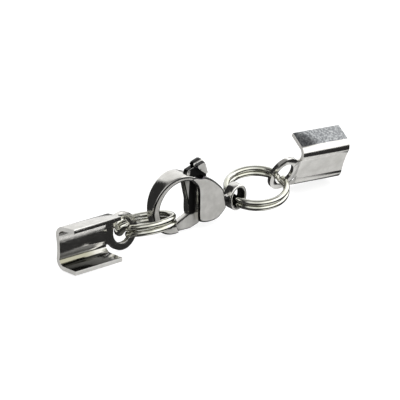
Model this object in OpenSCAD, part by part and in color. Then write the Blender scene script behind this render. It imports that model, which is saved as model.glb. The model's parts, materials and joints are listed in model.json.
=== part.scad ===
// Lobster clasp joined by two split rings to two folded cord ends, lying in a straight row.
// The row runs along X, the clasp's front face looks towards -Y and the surface below is z = 0.
// The origin is under the middle of the row.

/* [Claw] */
// Outer radius of the claw
claw_r = 3.25; // [3.15:0.05:3.5]
// Radius of the opening inside the claw
opening_r = 2.5; // [2.35:0.05:2.55]
// Distance of the opening's centre from the claw's centre, towards the eye
opening_shift = 0.15; // [0.05:0.05:0.3]
// Distance of the opening's centre above the claw's centre
opening_lift = 0.2; // [0.1:0.05:0.3]
// Thickness of the hook's tip, front to back
hook_t = 1.1; // [0.95:0.05:1.5]
// Angle of the hook's tip round the claw, on its outer edge
hook_angle = 277; // [274:1:279]
// Width of the rounded edges of the claw
claw_edge = 0.18; // [0.1:0.02:0.22]

/* [Body] */
// Distance from the claw's centre to the body's blunt tip
body_reach = 6.2; // [6:0.1:7]
// Depth of the body below the claw's centre
body_drop = 2.66; // [2.5:0.02:2.8]
// Thickness of the body, front to back
body_t = 2.5; // [2.3:0.1:3]
// Distance of the cheeks' throat edge from the claw's centre
throat_reach = 2.3; // [2.2:0.05:2.4]
// Width of the rounded edges of the body
body_edge = 0.22; // [0.1:0.02:0.3]
// Radius of the thumb scoops in the top edges of the cheeks
scoop_r = 1.5; // [1.2:0.1:1.8]
// Depth of the thumb scoops
scoop_depth = 0.32; // [0.1:0.02:0.4]

/* [Clasp eye] */
// Height of the eye
eye_h = 2.85; // [2.7:0.05:3.1]
// Width of the eye along the clasp
eye_w = 2.35; // [2.3:0.05:2.6]
// Width of the eye's rim
eye_rim = 0.38; // [0.3:0.02:0.44]
// Thickness of the eye, front to back
eye_t = 1.2; // [1:0.05:1.3]
// Distance from the body's tip to the centre of the eye
eye_reach = 2.25; // [2.1:0.05:2.6]
// Distance of the eye's centre below the claw's centre
eye_drop = 1.3; // [1.2:0.05:1.5]

/* [Lever] */
// Thickness of the lever's plate
lever_t = 0.7; // [0.5:0.05:0.9]
// Clearance between the lever and each cheek of the slot
slot_gap = 0.08; // [0.05:0.01:0.15]
// Distance of the pivot from the claw's centre, along the clasp
pivot_reach = 3.3; // [3.1:0.05:3.5]
// Distance of the pivot below the claw's centre
pivot_drop = 1.35; // [1.2:0.05:1.5]
// Radius of the lever round its pivot
boss_r = 1.2; // [0.8:0.05:1.3]
// Diameter of the pivot pin
pin_d = 0.6; // [0.4:0.05:0.8]
// Clearance round the pin in the lever's bore
pin_gap = 0.05; // [0.03:0.01:0.08]
// Clearance between the gate's tip and the hook's tip
tip_gap = 0.08; // [0.05:0.01:0.15]
// Height of the thumb tab above the claw's centre
tab_h = 4.3; // [4.1:0.05:4.8]
// Thickness of the thumb tab
tab_t = 1.15; // [0.9:0.05:1.3]
// Largest turn of the lever
lever_open = 28; // [15:1:28]

/* [Split rings] */
// Diameter of the wire
wire_d = 0.6; // [0.5:0.02:0.64]
// Outer diameter of the left ring
left_ring_d = 6.4; // [6.3:0.1:7]
// Outer diameter of the right ring
right_ring_d = 6.9; // [6.4:0.1:7.4]
// Gap between the two turns of a ring
turn_gap = 0.03; // [0.02:0.01:0.08]

/* [Cord ends] */
// Thickness of the sheet
sheet_t = 0.42; // [0.3:0.02:0.5]
// Length of the channel
channel_len = 6.05; // [5:0.05:8]
// Outer width of the channel's base
channel_w = 4.35; // [4.1:0.05:5]
// Length of each wing, from the base's outer corner
wing_len = 2.75; // [2.2:0.05:4]
// Outer radius of the bends
bend_r = 1.05; // [0.7:0.05:1.2]
// Inward bow of the channel's base
base_bow = 0.12; // [0:0.02:0.2]
// Opening of the left wings past a right angle
left_flare = 3; // [0:1:12]
// Opening of the right upper wing past a right angle
right_flare = 10; // [0:1:20]
// Opening of the right lower wing past a right angle
right_low_flare = 44; // [34:1:48]
// Outer diameter of a cord end's eye
loop_d = 3.9; // [3.8:0.1:4.4]
// Hole in a cord end's eye
loop_hole = 2.45; // [2.3:0.05:2.6]
// Distance from the channel to the centre of its eye
loop_reach = 2.1; // [1.8:0.05:2.6]
// Distance of the eye's centre below the middle of the base
loop_drop = 0.15; // [0:0.05:0.3]

/* [Lie of the pieces] */
// Lean of the clasp towards the front
clasp_lean = 5; // [0:1:8]
// Tilt of the left ring, its front side up
left_ring_tilt = 12; // [8:1:18]
// Tilt of the right ring, its back side up
right_ring_tilt = 12; // [4:1:16]
// Rise of the right ring from the clasp to the cord end
right_ring_rise = 10; // [4:1:12]
// Clearance between pieces that hang in each other
hang_gap = 0.05; // [0.03:0.01:0.1]

/* [Hidden] */
$fn = 48;

steel = [0.72, 0.71, 0.69];
bright_steel = [0.82, 0.82, 0.8];

// Directions, curves and blends
function dir(a) = [cos(a), sin(a)];
function mix(a, b, t) = a + (b - a) * min(max(t, 0), 1);
function smooth(t) = let (s = min(max(t, 0), 1)) s * s * (3 - 2 * s);
function turn(o, r, a, b, n) = [for (i = [0 : n]) o + r * dir(a + (b - a) * i / n)];

// Quarter bend between two straights, p to q to r, as n pieces of a curve
function bend(p, q, r, n) =
    [for (i = [0 : n]) let (t = i / n) p * (1 - t) * (1 - t) + q * 2 * t * (1 - t) + r * t * t];

// An anticlockwise outline drawn in by d
function inset(pts, d) =
    let (n = len(pts))
    [for (i = [0 : n - 1])
        let (a = pts[i] - pts[(i + n - 1) % n], b = pts[(i + 1) % n] - pts[i],
             u = a / norm(a) + b / norm(b), v = [-u[1], u[0]] / norm(u)) pts[i] + v * d];

// Solid through rings of equal length, each ring clockwise as seen from the first end
module loft(rings, closed = false) {
    m = len(rings[0]);
    k = len(rings);
    sides = [for (j = [0 : k - (closed ? 1 : 2)], i = [0 : m - 1])
        let (a = j * m + i, b = j * m + (i + 1) % m, e = ((j + 1) % k) * m)
            each [[a, e + (i + 1) % m, b], [a, e + i, e + (i + 1) % m]]];
    ends = closed ? [] : [[for (i = [0 : m - 1]) i], [for (i = [m - 1 : -1 : 0]) (k - 1) * m + i]];
    polyhedron(points = [for (r = rings) each r], faces = concat(sides, ends));
}

// Plate in XY whose front and back edges are rounded off by c
module edged_plate(pts, t, c) {
    cuts = [[-t / 2, c], [-t / 2 + 0.3 * c, 0.3 * c], [-t / 2 + c, 0],
            [t / 2 - c, 0], [t / 2 - 0.3 * c, 0.3 * c], [t / 2, c]];
    loft([for (k = cuts) [for (p = inset(pts, k[1])) [p[0], p[1], k[0]]]]);
}

// Box section between two points of a plane, t thick, with edges rounded by c
function box_section(p, q, t, c) =
    let (u = (q - p) / norm(q - p), h = t / 2, w = norm(q - p), d = 0.3 * c,
         row = [[c, h], [w - c, h], [w - d, h - d], [w, h - c], [w, c - h], [w - d, d - h],
                [w - c, -h], [c, -h], [d, d - h], [0, c - h], [0, h - c], [d, h - d]])
    [for (r = row) [p[0] + u[0] * r[0], p[1] + u[1] * r[0], r[1]]];

// Outline of the opening as a distance from the claw's centre
opening = [opening_shift, opening_lift];
function opening_at(a) =
    let (k = dir(a) * opening) k + sqrt(k * k - opening * opening + opening_r * opening_r);

// The claw runs from its root over the top and round to the hook's tip
root_angle = 44;
tip_turn = 8.5;
claw_steps = 30;
claw = [for (i = [0 : claw_steps])
    let (s = i / claw_steps, a = mix(root_angle, hook_angle, s),
         b = a - tip_turn * smooth((s - 0.85) / 0.15))
        [a, dir(b) * opening_at(b), dir(a) * claw_r, mix(body_t * 0.985, hook_t, (a - 75) / 110)]];
hook_in = claw[claw_steps][1];
hook_out = claw[claw_steps][2];

// Body outline, anticlockwise from the lower throat corner
top_angle = 68;
tip = [body_reach, -0.62 * body_drop];
body_outline = concat(
    bend([throat_reach + 0.2, 0.88 - body_drop * 1.18], [throat_reach + 1.1, -body_drop * 1.02],
         [throat_reach + 1.9, -body_drop], 3),
    bend([throat_reach + 2.3, 0.02 - body_drop], [body_reach - 0.95, 0.05 - body_drop],
         tip - [0.35, 0.3], 3),
    [tip + [0, 0.05], tip + [-0.1, 0.65], tip + [-0.3, 1.3], tip + [-0.42, 1.9]],
    [tip + [-0.7, 2.45], tip + [-1.76, 3.4], tip + [-2.6, 3.98]],
    [tip + [-3.4, 4.3], tip + [-4.2, 4.5]],
    [dir(top_angle) * (claw_r - 0.13), dir(top_angle) * (claw_r - 0.4)],
    bend([throat_reach - 0.65, 2.1], [throat_reach - 0.2, 1.75], [throat_reach - 0.12, 1], 3),
    [[throat_reach, -0.6], [throat_reach + 0.03, -1.5]]);

// Lever: the gate bar, the throat edge and the stem that carries the tab
pivot = [pivot_reach, -pivot_drop];
face_dir = (hook_out - hook_in) / norm(hook_out - hook_in);
face_out = [-face_dir[1], face_dir[0]];
gate_top = hook_in + face_out * tip_gap + face_dir * 0.04;
gate_low = hook_out + face_out * tip_gap - face_dir * 0.08;
tab_root = [pivot_reach + 0.65, tab_h - 1.9];
stem_foot = [throat_reach - 0.45, -1.5];
stem_head = [opening_shift + 0.75, opening_lift + 1.95];
lever_outline = concat(
    [gate_low, [throat_reach - 0.2, -claw_r + 0.04], [pivot_reach - 0.1, -claw_r + 0.34]],
    turn(pivot, boss_r, -75, 0, 5),
    [tab_root + [0, -0.8], tab_root + [-0.02, 0.3], tab_root + [-1.3, 1.3]],
    [[opening_shift + 1.2, claw_r + 0.1], stem_head, stem_foot + [-0.02, 0.5]],
    bend(stem_foot + [0.02, 0.2], stem_foot + [0, -0.05], stem_foot + [-0.4, -0.2], 2),
    [gate_top]);
tab_outline = [[tab_root[0] - 0.55, tab_root[1] + 0.25], [tab_root[0] + 0.02, tab_root[1] + 0.03],
    [tab_root[0] - 0.35, tab_root[1] + 1], [tab_root[0] - 0.73, tab_h],
    [tab_root[0] - 1.3, tab_h - 0.12], [tab_root[0] - 1.95, tab_h - 0.32],
    [tab_root[0] - 1.92, tab_h - 0.72]];

// Slot for the lever, from its closed place to its widest
slot_w = lever_t + 2 * slot_gap;
slot_back = dir(90 - lever_open - 8);
module slot() {
    side = boss_r + 0.12;
    linear_extrude(slot_w, center = true) {
        translate(pivot) circle(side);
        polygon([[-0.2 + opening_shift + 0.9, 0], [opening_shift + 0.62, opening_lift + 1.9],
                 [opening_shift + 1.05, claw_r + 0.3], pivot + slot_back * 6.5 + [side, 0],
                 pivot + [side, 0], pivot + [0.5, -side], pivot + [0.5, -2], pivot + [-2, -2.5],
                 [throat_reach - 1, -2.5]]);
    }
}

// Pin
pin_cover = 0.3;
pin_seat = 0.02;
pin_len = body_t - 2 * pin_cover;

// Neck of the eye, a row for each section
eye_at = [body_reach + eye_reach, -eye_drop];
neck_rows = [ // distance from the eye's centre, height, thickness
    [2.9, 1.7, 1.5], [2.3, 1.4, 1.15], [1.75, 0.95, 0.8], [1.35, 0.9, 0.75], [0.95, 1.05, 0.8]];

module clasp_body_flat() {
    difference() {
        union() {
            loft([for (r = claw) box_section(r[1], r[2], r[3], claw_edge)]);
            edged_plate(body_outline, body_t, body_edge);
            loft([for (r = neck_rows)
                [for (a = [22.5 : 45 : 359])
                    [eye_at[0] - r[0], eye_at[1] + r[1] / 2 * cos(a) / cos(22.5),
                     r[2] / 2 * sin(a) / cos(22.5)]]]);
        }
        slot();
        cylinder_at_pivot(pin_d + 2 * pin_seat, pin_len + 2 * pin_seat);
        for (s = [-1, 1])
            translate([tab_root[0] - 1.3, claw_r - 0.42 - scoop_depth + scoop_r, s * body_t / 2])
                cylinder(h = body_t - slot_w, r = scoop_r, center = true);
    }
    loft([for (i = [0 : 23]) let (a = i * 15)
        box_section(eye_at + [(eye_w / 2 - eye_rim) * cos(a), (eye_h / 2 - eye_rim) * sin(a)],
                    eye_at + [eye_w / 2 * cos(a), eye_h / 2 * sin(a)],
                    eye_t, min(0.2, eye_rim * 0.45))], true);
}

module cylinder_at_pivot(d, h) {
    translate(pivot) cylinder(h = h, d = d, center = true);
}

// The clasp stands on its hook, leaning to the front
clasp_z = claw_r * cos(clasp_lean) + hook_t / 2 * sin(clasp_lean);
module stand_clasp() {
    translate([0, 0, clasp_z] - row_mid) rotate([90 + clasp_lean, 0, 0]) children();
}
function clasp_point(p) = // a point of the clasp's middle plane in the row's frame
    [p[0], -p[1] * sin(clasp_lean), clasp_z + p[1] * cos(clasp_lean)];

module clasp_body() {
    color(steel) stand_clasp() clasp_body_flat();
}

module gate_lever() {
    color(steel) stand_clasp() difference() {
        union() {
            linear_extrude(lever_t, center = true) polygon(lever_outline);
            edged_plate(tab_outline, tab_t, 0.22);
        }
        cylinder_at_pivot(pin_d + 2 * pin_gap, tab_t + 1);
    }
}

module pivot_pin() {
    color(bright_steel) stand_clasp() cylinder_at_pivot(pin_d, pin_len);
}

// Split rings: the wire makes two turns, crossing from the lower to the upper one in a short jog
pitch = wire_d + turn_gap;
stack = wire_d + pitch;
ring_sides = 16;
wire_sides = 6;
jog = 26;
module split_ring(d, start) {
    r = (d - wire_d) / 2;
    steps = 2 * ring_sides;
    run = 720 - jog - 4;
    loft([for (i = [0 : steps])
        let (a = run * i / steps, h = pitch * smooth((a - 360 + jog) / jog) - pitch / 2)
        [for (k = [0 : wire_sides - 1]) let (w = 360 * k / wire_sides)
            [(r + wire_d / 2 * cos(w)) * cos(a + start), (r + wire_d / 2 * cos(w)) * sin(a + start),
             h - wire_d / 2 * sin(w)]]]);
}

function rot_x(a, p) = [p[0], p[1] * cos(a) - p[2] * sin(a), p[1] * sin(a) + p[2] * cos(a)];
function rot_y(a, p) = [p[0] * cos(a) + p[2] * sin(a), p[1], -p[0] * sin(a) + p[2] * cos(a)];
function rot_z(a, p) = [p[0] * cos(a) - p[1] * sin(a), p[0] * sin(a) + p[1] * cos(a), p[2]];
function swing(a, p) = rot_y(a[1], rot_x(a[0], p));
function ring_point(d, a) = (d - wire_d) / 2 * [cos(a), sin(a), 0];

// The left ring lies over the hook, next to its tip
left_turn = [-left_ring_tilt, -1, 0];
left_cross = -9; // place on the ring that lies over the hook
left_eye_cross = 186; // place on the ring that holds the cord end
left_start = 190; // place of the wire's end
left_hold_x = opening_shift - 0.7;
left_floor = opening_lift - sqrt(pow(opening_r, 2) - pow(left_hold_x - wire_d / 2 - opening_shift, 2));
left_hold = clasp_point([left_hold_x, left_floor + stack / 2 / cos(left_ring_tilt) + hang_gap
                         + hook_t / 2 * (tan(left_ring_tilt) + tan(clasp_lean)) - 0.12]);
left_centre = left_hold - swing(left_turn, ring_point(left_ring_d, left_cross));

// The right ring hangs in the lower part of the clasp's eye
right_turn = [right_ring_tilt, -right_ring_rise, 0];
right_cross = 176;
right_eye_cross = -5;
right_start = 15;
right_hold = clasp_point(eye_at + [-0.22, stack / 2 + hang_gap + 0.1 - eye_h / 2 + eye_rim]);
right_centre = right_hold - swing(right_turn, ring_point(right_ring_d, right_cross));

module split_ring_left() {
    color(bright_steel) translate(left_centre - row_mid) rotate(left_turn)
        split_ring(left_ring_d, left_start);
}

module split_ring_right() {
    color(bright_steel) translate(right_centre - row_mid) rotate(right_turn)
        split_ring(right_ring_d, right_start);
}

// Section of the folded sheet: bottom wing, base and top wing, the wings along +X and the base at the left
// for flare = [opening of the bottom wing, opening of the top wing] and a depth off in from the outer side
function outline_side(flare, off) =
    let (up = 90 + flare[0], end = flare[0] + flare[1], p = channel_w * dir(up), r = bend_r - off,
         o1 = [bend_r * tan((90 - flare[0]) / 2), bend_r],
         o2 = p - bend_r * tan((90 - flare[1]) / 2) * dir(up) + bend_r * dir(up - 90),
         q = [for (i = [1 : 3]) let (s = i / 4) o1 - bend_r * dir(up - 90) +
             s * (o2 - o1) + (off + base_bow * 4 * s * (1 - s)) * dir(up - 90)])
    concat([[wing_len, off]],
           [for (i = [0 : 5]) o1 + r * dir(270 - (90 - flare[0]) * i / 5)], q,
           [for (i = [0 : 5]) o2 + r * dir(90 + up - (90 - flare[1]) * i / 5)],
           [p + wing_len * dir(end) + off * dir(end - 90)]);

// Neck of a cord end's eye: distance from the channel, half its width as a share of the base
eye_neck = [[-0.1, 0.25], [0.5, 0.25], [0.9, 0.1]];
neck_root = 0.25;
loop_at = [loop_reach - 0.1, channel_w / 2 - loop_drop];
eye_foot = [channel_len + 0.1, -base_bow * 0.8, 0];

// Cord end with its free end at x = 0 and its eye towards +X, wings towards -Y
module cord_end(flare, eye_bend) {
    outer = outline_side(flare, 0);
    inner = outline_side(flare, sheet_t);
    n = len(outer);
    rotate([90, 0, -90]) translate([0, 0, -channel_len]) linear_extrude(channel_len)
        polygon(concat(outer, [for (i = [n - 1 : -1 : 0]) inner[i]]));
    // root of the eye's neck, in the plane of the base
    translate(eye_foot - [0.1, 0, 0]) rotate([90 - flare[0], 0, 0]) linear_extrude(sheet_t)
        translate([-neck_root, channel_w * 0.27]) square([2 * neck_root, channel_w * 0.46]);
    translate(eye_foot) rotate([-flare[0], 0, 0]) rotate([90, 0, eye_bend]) linear_extrude(sheet_t)
        difference() {
            union() {
                translate(loop_at) circle(loop_d / 2);
                polygon(concat([for (k = eye_neck) [k[0], channel_w * (0.5 - k[1])]],
                               [for (i = [2 : -1 : 0])
                                   [eye_neck[i][0], channel_w * (0.5 + eye_neck[i][1])]]));
            }
            translate(loop_at) circle(loop_hole / 2);
        }
}

function cord_eye(flare, eye_bend) = // centre of the eye in the cord end's own frame
    eye_foot + rot_x(-flare[0], rot_z(eye_bend, [loop_at[0], -sheet_t / 2, loop_at[1]]));

// Roll, pitch and yaw of the cord ends, each on the free edge of its lower wing
left_lie = [0, 1.5, 1.7];
right_lie = [21.5, -2, 172];
left_open = [left_flare, left_flare];
right_open = [right_low_flare, right_flare];
left_bend = 0;
right_bend = 8;
function lift(a) = max(0, channel_len * sin(a[1]));
function lie(p, a) = [0, 0, lift(a)] +
    rot_z(a[2], rot_y(a[1], [0, -wing_len, 0] + rot_x(a[0], p + [0, wing_len, 0])));
loop_play = loop_hole / 2 - wire_d / 2 - hang_gap - 0.38;
left_end = left_centre + swing(left_turn, ring_point(left_ring_d, left_eye_cross)) - [loop_play, 0, 0];
right_end = right_centre + swing(right_turn, ring_point(right_ring_d, right_eye_cross)) + [loop_play, 0, 0];
left_off = left_end - lie(cord_eye(left_open, left_bend), left_lie);
right_off = right_end - lie(cord_eye(right_open, right_bend), right_lie);

// The row's origin is the middle of the space it takes up
function end_hull(flare, off, turn) =
    [for (x = [0, channel_len], q = outline_side(flare, 0)) off + lie([x, -q[0], q[1]], turn)];
left_hull = end_hull(left_open, left_off, left_lie);
right_hull = end_hull(right_open, right_off, right_lie);
ring_hull = [for (a = [0 : 30 : 330]) right_centre + swing(right_turn, ring_point(right_ring_d + wire_d, a))];
hull_points = concat(left_hull, right_hull, ring_hull);
function middle(k) = let (v = [for (p = hull_points) p[k]]) (min(v) + max(v)) / 2;
row_mid = [middle(0), middle(1), 0];

module lay(a, off) {
    translate([off[0], off[1], lift(a)] - row_mid) rotate([0, a[1], a[2]])
        translate([0, -wing_len, 0]) rotate([a[0], 0, 0]) translate([0, wing_len, 0]) children();
}

module cord_end_left() {
    color(steel) lay(left_lie, left_off) cord_end(left_open, left_bend);
}

module cord_end_right() {
    color(steel) lay(right_lie, right_off) cord_end(right_open, right_bend);
}

clasp_body();
gate_lever();
pivot_pin();
split_ring_left();
split_ring_right();
cord_end_left();
cord_end_right();
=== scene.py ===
"""Looks for a lobster clasp joined by two split rings to two folded cord ends.

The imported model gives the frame. The clasp's body, its lever, the rings and the cord ends are
made again with finer edges from the same sizes, and each piece rides on the body that carries it.
Lengths are in millimetres until a mesh is placed in the row, where they become metres.
"""

import json
import logging
from dataclasses import dataclass
from enum import Enum
from math import cos, radians, sin, sqrt, tan
from typing import Any, Callable, Optional, Sequence, Union

import bmesh
import bpy
import numpy as np
from mathutils import Matrix, Vector


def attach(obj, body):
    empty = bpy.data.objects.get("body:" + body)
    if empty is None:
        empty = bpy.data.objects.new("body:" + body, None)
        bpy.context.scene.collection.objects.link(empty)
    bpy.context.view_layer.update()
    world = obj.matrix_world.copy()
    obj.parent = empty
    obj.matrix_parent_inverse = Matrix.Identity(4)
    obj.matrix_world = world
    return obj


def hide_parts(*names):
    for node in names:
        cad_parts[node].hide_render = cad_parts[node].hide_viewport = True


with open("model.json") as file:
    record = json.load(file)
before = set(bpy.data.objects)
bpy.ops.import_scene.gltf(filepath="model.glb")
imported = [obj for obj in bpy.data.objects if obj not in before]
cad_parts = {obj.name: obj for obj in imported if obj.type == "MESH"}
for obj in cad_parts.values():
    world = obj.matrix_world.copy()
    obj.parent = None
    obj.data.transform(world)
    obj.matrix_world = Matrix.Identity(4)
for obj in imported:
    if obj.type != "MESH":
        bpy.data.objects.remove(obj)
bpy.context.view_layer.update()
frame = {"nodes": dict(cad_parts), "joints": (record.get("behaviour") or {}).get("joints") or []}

log = logging.getLogger("clasp_row")
MM = 0.001
SHARP_EDGE = radians(32)
EASED_EDGE = radians(38)
Array = np.ndarray
Triple = tuple[float, float, float]
Obj = bpy.types.Object


# ---- curves and sections

def along(angle: float) -> Array:
    """Unit direction in a plane at an angle in degrees."""
    return np.array([cos(radians(angle)), sin(radians(angle))])


def mix(a: Any, b: Any, t: float) -> Any:
    """Blend from a to b, held at both ends."""
    return a + (b - a) * min(max(t, 0.0), 1.0)


def smooth(t: float) -> float:
    """Soft step from 0 to 1."""
    s = min(max(t, 0.0), 1.0)
    return s * s * (3 - 2 * s)


def arc(centre: Sequence[float], radius: float, start: float, end: float, steps: int) -> list[Array]:
    """Points of an arc.

    Args:
        centre: Middle of the arc.
        radius: Radius of the arc.
        start: First angle, in degrees.
        end: Last angle, in degrees.
        steps: Number of chords.

    Returns:
        The points from the first angle to the last.
    """
    return [np.array(centre) + radius * along(start + (end - start) * i / steps) for i in range(steps + 1)]


def bend(p: Sequence[float], q: Sequence[float], r: Sequence[float], steps: int) -> list[Array]:
    """Points of a quadratic curve from p to r that heads for q."""
    a, b, c = (np.array(v, float) for v in (p, q, r))
    return [a * (1 - t) ** 2 + b * 2 * t * (1 - t) + c * t * t for t in np.linspace(0, 1, steps + 1)]


def soften(points: Sequence[Sequence[float]], rounds: int) -> Array:
    """Round off a closed outline by cutting its corners.

    Args:
        points: Corners of the outline, in order.
        rounds: How often every corner is cut.

    Returns:
        The softer outline, with twice as many points for each round.
    """
    p = np.array(points, float)
    for _ in range(rounds):
        after = np.roll(p, -1, axis=0)
        p = np.stack([0.75 * p + 0.25 * after, 0.25 * p + 0.75 * after], axis=1).reshape(-1, 2)
    return p


def inset(points: Array, depth: float) -> Array:
    """Draw an outline in.

    Args:
        points: Corners of the outline, anticlockwise.
        depth: How far it is drawn in.

    Returns:
        The smaller outline, with as many points.
    """
    back, ahead = points - np.roll(points, 1, axis=0), np.roll(points, -1, axis=0) - points
    u = back / np.linalg.norm(back, axis=1)[:, None] + ahead / np.linalg.norm(ahead, axis=1)[:, None]
    normal = np.stack([-u[:, 1], u[:, 0]], axis=1) / np.linalg.norm(u, axis=1)[:, None]
    return points + normal * depth


def between(rows: Sequence[Sequence[float]], steps: int) -> Array:
    """Rows of a table with smooth rows added between them.

    Args:
        rows: The table, at least two rows of equal length.
        steps: Number of parts that each gap is divided into.

    Returns:
        The longer table, through all the given rows.
    """
    p = np.array(rows, float)
    p = np.vstack([2 * p[0] - p[1], p, 2 * p[-1] - p[-2]])
    out = []
    for k in range(1, len(p) - 2):
        for i in range(steps):
            t = i / steps
            out.append(0.5 * (2 * p[k] + (p[k + 1] - p[k - 1]) * t
                              + (2 * p[k - 1] - 5 * p[k] + 4 * p[k + 1] - p[k + 2]) * t ** 2
                              + (3 * p[k] - p[k - 1] - 3 * p[k + 1] + p[k + 2]) * t ** 3))
    out.append(p[-2])
    return np.array(out)


def box_section(p: Array, q: Array, thick: float, edge: float, steps: int = 5) -> Array:
    """Rounded rectangle that stands on a line of the plane.

    Args:
        p: Inner end of the line.
        q: Outer end of the line.
        thick: Size across the plane.
        edge: Radius of the four corners.
        steps: Chords of each corner.

    Returns:
        The corner points, as rows of x, y and z.
    """
    width = float(np.linalg.norm(q - p))
    u = (q - p) / width
    half = thick / 2
    corners = [((width - edge, half - edge), 90, 0), ((width - edge, edge - half), 0, -90),
               ((edge, edge - half), -90, -180), ((edge, half - edge), 180, 90)]
    row = np.array([pt for c, a, b in corners for pt in arc(c, edge, a, b, steps)])
    flat = np.array(p)[None, :] + row[:, :1] * u[None, :]
    return np.column_stack([flat, row[:, 1]])


# ---- meshes

def add_object(name: str, data: Any) -> Obj:
    """Add an object to the scene, at the origin."""
    made = bpy.data.objects.new(name, data)
    bpy.context.scene.collection.objects.link(made)
    return made


def read(items: Any, key: str) -> Array:
    """Rows of three numbers that a mesh keeps for its vertices or faces."""
    values = np.empty(len(items) * 3)
    items.foreach_get(key, values)
    return values.reshape(-1, 3)


def solid_of(name: str, rings: Sequence[Array], closed: bool = False) -> Obj:
    """Make a closed solid through rings of points.

    Args:
        name: Name of the new object.
        rings: The sections, each with the same number of points.
        closed: True where the last section meets the first.

    Returns:
        The object, in millimetres, with its faces pointing outwards.
    """
    maker = bmesh.new()
    rows = [[maker.verts.new(p) for p in ring] for ring in rings]
    count = len(rows[0])
    for j in range(len(rows) if closed else len(rows) - 1):
        a, b = rows[j], rows[(j + 1) % len(rows)]
        for i in range(count):
            maker.faces.new((a[i], a[(i + 1) % count], b[(i + 1) % count], b[i]))
    if not closed:
        maker.faces.new(rows[0][::-1])
        maker.faces.new(rows[-1])
    bmesh.ops.recalc_face_normals(maker, faces=maker.faces)
    mesh = bpy.data.meshes.new(name)
    maker.to_mesh(mesh)
    maker.free()
    return add_object(name, mesh)


def level(points: Array, z: float) -> Array:
    """Points of the XY plane lifted to a height."""
    return np.column_stack([points, np.full(len(points), z)])


def plate(name: str, outline: Sequence[Sequence[float]], thick: float, edge: float, steps: int = 5,
          rounds: int = 0) -> Obj:
    """Flat plate in the XY plane with rounded front and back edges.

    Args:
        name: Name of the new object.
        outline: Anticlockwise outline.
        thick: Thickness of the plate.
        edge: Radius of its edges, or 0 for sharp ones.
        steps: Chords of each rounded edge.
        rounds: How often the outline's corners are cut.

    Returns:
        The plate's object.
    """
    half = thick / 2
    levels = [(half, 0.0)]
    if edge > 0:
        turns = [radians(90 * i / steps) for i in range(steps + 1)]
        levels = [(half - edge + edge * sin(t), edge * (1 - cos(t))) for t in turns]
    levels = [(-z, d) for z, d in reversed(levels)] + levels
    flat = np.array(outline, float)
    return solid_of(name, [level(soften(inset(flat, d), rounds), z) for z, d in levels])


def rod(name: str, centre: Sequence[float], radius: float, length: float,
        sides: int = 64) -> Obj:
    """Round bar along Z, used for discs, bores and hollows.

    Args:
        name: Name of the new object.
        centre: Middle of the bar, in the XY plane or in space.
        radius: Radius of the bar.
        length: Length of the bar.
        sides: Number of its sides.

    Returns:
        The bar's object.
    """
    ring = np.array(arc(centre[:2], radius, 0, 360 - 360 / sides, sides - 1))
    z = centre[2] if len(centre) > 2 else 0.0
    return solid_of(name, [level(ring, z - length / 2), level(ring, z + length / 2)])


def bake(obj: Obj) -> None:
    """Turn an object's modifiers into its plain mesh."""
    bpy.context.view_layer.update()
    graph = bpy.context.evaluated_depsgraph_get()
    made = bpy.data.meshes.new_from_object(obj.evaluated_get(graph))
    obj.modifiers.clear()
    obj.data = made


def combine(obj: Obj, tool: Obj, operation: str) -> None:
    """Join a tool to an object or cut it away, and delete the tool.

    Args:
        obj: The object that stays.
        tool: The object that is used up.
        operation: UNION or DIFFERENCE.
    """
    step = obj.modifiers.new("form", "BOOLEAN")
    step.operation = operation
    step.object = tool
    step.solver = "EXACT"
    bake(obj)
    log.debug("%s after %s with %s: %d faces", obj.name, operation, tool.name, len(obj.data.polygons))
    bpy.data.objects.remove(tool)


def ease_edges(obj: Obj, width: float) -> None:
    """Round off the sharp edges of an object by a small width, in millimetres."""
    step = obj.modifiers.new("edges", "BEVEL")
    step.width, step.segments = width, 2
    step.limit_method, step.angle_limit = "ANGLE", EASED_EDGE
    step.use_clamp_overlap = True
    step.miter_outer = "MITER_ARC"
    bake(obj)


def place(obj: Obj, move: Callable[[Array], Array], dress: bpy.types.Material) -> None:
    """Move a finished mesh to its place in the row, in metres, and give it its material.

    Args:
        obj: The finished object, in millimetres.
        move: Takes rows of points from the piece's own frame to the row's frame.
        dress: Material of the whole piece.
    """
    mesh = obj.data
    mesh.vertices.foreach_set("co", (move(read(mesh.vertices, "co")) * MM).ravel())
    maker = bmesh.new()
    maker.from_mesh(mesh)
    bmesh.ops.remove_doubles(maker, verts=maker.verts, dist=2e-7)
    bmesh.ops.dissolve_degenerate(maker, edges=maker.edges, dist=1e-7)
    bmesh.ops.recalc_face_normals(maker, faces=maker.faces)
    maker.to_mesh(mesh)
    maker.free()
    mesh.polygons.foreach_set("use_smooth", [True] * len(mesh.polygons))
    mesh.set_sharp_from_angle(angle=SHARP_EDGE)
    mesh.materials.clear()
    mesh.materials.append(dress)
    mesh.update()


# ---- sizes of the row

def turned(points: Array, axis: str, angle: float) -> Array:
    """Points turned about an axis through the origin, by an angle in degrees."""
    return points @ np.array(Matrix.Rotation(radians(angle), 3, axis)).T


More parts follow.
